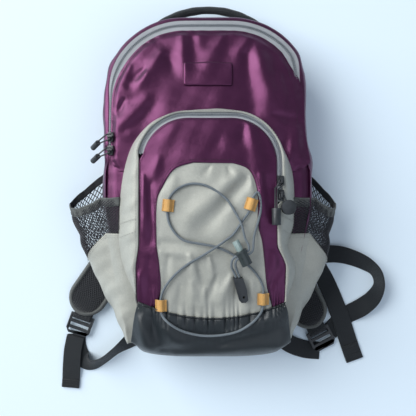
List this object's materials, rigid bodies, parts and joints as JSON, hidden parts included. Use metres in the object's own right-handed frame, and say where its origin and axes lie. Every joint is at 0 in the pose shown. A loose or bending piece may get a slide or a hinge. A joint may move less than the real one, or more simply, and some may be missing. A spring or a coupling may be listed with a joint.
{
  "type": "daypack",
  "caption": "Zipped daypack lying on its back, with a front pocket laced with elastic cord, side mesh pockets, a haul handle and padded shoulder straps.",
  "frame": {"origin": "middle of the back pad's outer face, which rests on z = 0", "axes": "+Z out of the front panel, +Y towards the haul handle, +X to the right seen from the front"},
  "size_m": [0.4514, 0.5327, 0.1351],
  "materials": {
    "plum_nylon": "satin twill",
    "stone_nylon": "satin twill",
    "charcoal_coated": "coated, low sheen",
    "black_webbing": "woven webbing",
    "spacer_mesh": "knitted spacer mesh",
    "pocket_mesh": "open knitted mesh",
    "grey_binding": "woven binding",
    "zip_tape": "woven tape with a nylon coil",
    "slider_metal": "black enamel",
    "black_plastic": "moulded",
    "lock_plastic": "moulded",
    "spring_steel": "drawn wire",
    "elastic_braid": "braided sheath",
    "apricot_ribbon": "woven ribbon",
    "foam": "closed-cell foam"
  },
  "bodies": {
    "pack": {"back_panel": "plum_nylon", "back_foam": "foam", "back_pad": "spacer_mesh", "yoke_patch": "charcoal_coated", "main_shell": "plum_nylon", "front_panel": "plum_nylon", "bottom_panel": "charcoal_coated", "side_wing_left": "stone_nylon", "side_wing_right": "stone_nylon", "pocket_gusset": "stone_nylon", "pocket_front": "plum_nylon", "pocket_insert": "stone_nylon", "pocket_base_band": "charcoal_coated", "main_zip_outer": "zip_tape", "main_zip_legs": "zip_tape", "pocket_zip_outer": "zip_tape", "pocket_zip_inner": "zip_tape", "mesh_pocket_left": "pocket_mesh", "mesh_pocket_right": "pocket_mesh", "mesh_binding_left": "grey_binding", "mesh_binding_right": "grey_binding", "lace_loop_top_left": "apricot_ribbon", "lace_loop_top_right": "apricot_ribbon", "lace_loop_bottom_left": "apricot_ribbon", "lace_loop_bottom_right": "apricot_ribbon", "webbing_anchor_left": "black_webbing", "webbing_anchor_right": "black_webbing", "bungee_cord": "elastic_braid", "cord_end_clip": "black_plastic", "webbing_left": "black_webbing", "webbing_right": "black_webbing"},
    "flap": {"front_flap": "plum_nylon", "main_zip_flap": "zip_tape", "label_patch": "plum_nylon"},
    "main_slider_upper": {"main_slider_upper": "slider_metal"},
    "main_slider_lower": {"main_slider_lower": "slider_metal"},
    "main_pull_upper": {"main_pull_upper": "black_plastic"},
    "main_pull_lower": {"main_pull_lower": "black_plastic"},
    "pocket_slider_upper": {"pocket_slider_upper": "slider_metal"},
    "pocket_slider_lower": {"pocket_slider_lower": "slider_metal"},
    "barrel_pull": {"barrel_pull": "black_plastic"},
    "disc_pull": {"disc_pull": "black_plastic"},
    "haul_handle": {"haul_handle": "black_webbing"},
    "cord_lock": {"cord_lock_barrel": "black_plastic", "cord_lock_spring": "spring_steel"},
    "cord_lock_button": {"cord_lock_button": "lock_plastic"},
    "strap_left": {"shoulder_strap_left": "spacer_mesh", "strap_binding_left": "grey_binding", "strap_tab_left": "black_webbing", "webbing_tail_left": "black_webbing"},
    "strap_right": {"shoulder_strap_right": "spacer_mesh", "strap_binding_right": "grey_binding", "strap_tab_right": "black_webbing", "webbing_loop_right": "black_webbing", "webbing_tail_right": "black_webbing"},
    "ladder_lock_left": {"ladder_lock_left": "black_plastic"},
    "ladder_lock_right": {"ladder_lock_right": "black_plastic"}
  },
  "joints": [
    {"name": "flap_fold", "type": "hinge", "parent": "pack", "child": "flap", "pos_m": [0, 0.128, 0.0905], "axis": [1, 0, 0], "range_deg": [0, 75]},
    {"name": "main_slider_upper_travel", "type": "slide", "parent": "pack", "child": "main_slider_upper", "axis": [0, 0.9982, -0.0599], "range_m": [0, 0.02]},
    {"name": "main_slider_lower_travel", "type": "slide", "parent": "pack", "child": "main_slider_lower", "axis": [0, 0.9991, -0.043], "range_m": [0, 0.004]},
    {"name": "main_pull_upper_swing", "type": "hinge", "parent": "main_slider_upper", "child": "main_pull_upper", "pos_m": [-0.12403, 0.09038, 0.08694], "axis": [0, 0.9982, -0.0599], "range_deg": [0, 110]},
    {"name": "main_pull_lower_swing", "type": "hinge", "parent": "main_slider_lower", "child": "main_pull_lower", "pos_m": [-0.12403, 0.07328, 0.08783], "axis": [0, 0.9991, -0.043], "range_deg": [0, 110]},
    {"name": "pocket_slider_upper_travel", "type": "slide", "parent": "pack", "child": "pocket_slider_upper", "axis": [0, 0.9969, -0.0786], "range_m": [0, 0.009]},
    {"name": "pocket_slider_lower_travel", "type": "slide", "parent": "pack", "child": "pocket_slider_lower", "axis": [0, 0.9989, -0.0461], "range_m": [0, 0.003]},
    {"name": "barrel_pull_swing", "type": "hinge", "parent": "pocket_slider_upper", "child": "barrel_pull", "pos_m": [0.08904, 0.0335, 0.11637], "axis": [-0.9866, 0, 0.1632], "range_deg": [0, 100]},
    {"name": "disc_pull_swing", "type": "hinge", "parent": "pocket_slider_lower", "child": "disc_pull", "pos_m": [0.08904, 0.0163, 0.11744], "axis": [-0.9866, 0, 0.1632], "range_deg": [0, 100]},
    {"name": "haul_handle_lift", "type": "hinge", "parent": "pack", "child": "haul_handle", "pos_m": [0, 0.226, 0.024], "axis": [1, 0, 0], "range_deg": [0, 30]},
    {"name": "cord_lock_slide", "type": "slide", "parent": "pack", "child": "cord_lock", "axis": [0.8942, 0.4478, 0], "range_m": [-0.004, 0.005], "deforming": ["bungee_cord"]},
    {"name": "cord_lock_press", "type": "slide", "parent": "cord_lock", "child": "cord_lock_button", "axis": [0.4478, -0.8942, 0], "range_m": [0, 0.003], "stiffness_N_per_m": 300, "springref_m": -0.004, "deforming": ["cord_lock_spring", "bungee_cord"]},
    {"name": "strap_left_swing", "type": "hinge", "parent": "pack", "child": "strap_left", "pos_m": [-0.046, 0.186, 0.006], "axis": [0, 0, 1], "range_deg": [-6, 1.5], "deforming": ["webbing_left"]},
    {"name": "strap_right_swing", "type": "hinge", "parent": "pack", "child": "strap_right", "pos_m": [0.046, 0.186, 0.006], "axis": [0, 0, 1], "range_deg": [-1.5, 6], "deforming": ["webbing_right"]},
    {"name": "ladder_lock_left_tilt", "type": "hinge", "parent": "strap_left", "child": "ladder_lock_left", "pos_m": [-0.17676, -0.15335, 0.005], "axis": [-0.9397, 0.342, 0], "range_deg": [0, 25], "deforming": ["webbing_tail_left"]},
    {"name": "ladder_lock_right_tilt", "type": "hinge", "parent": "strap_right", "child": "ladder_lock_right", "pos_m": [0.15437, -0.17295, 0.005], "axis": [-0.891, -0.454, 0], "range_deg": [0, 25], "deforming": ["webbing_loop_right"]}
  ]
}
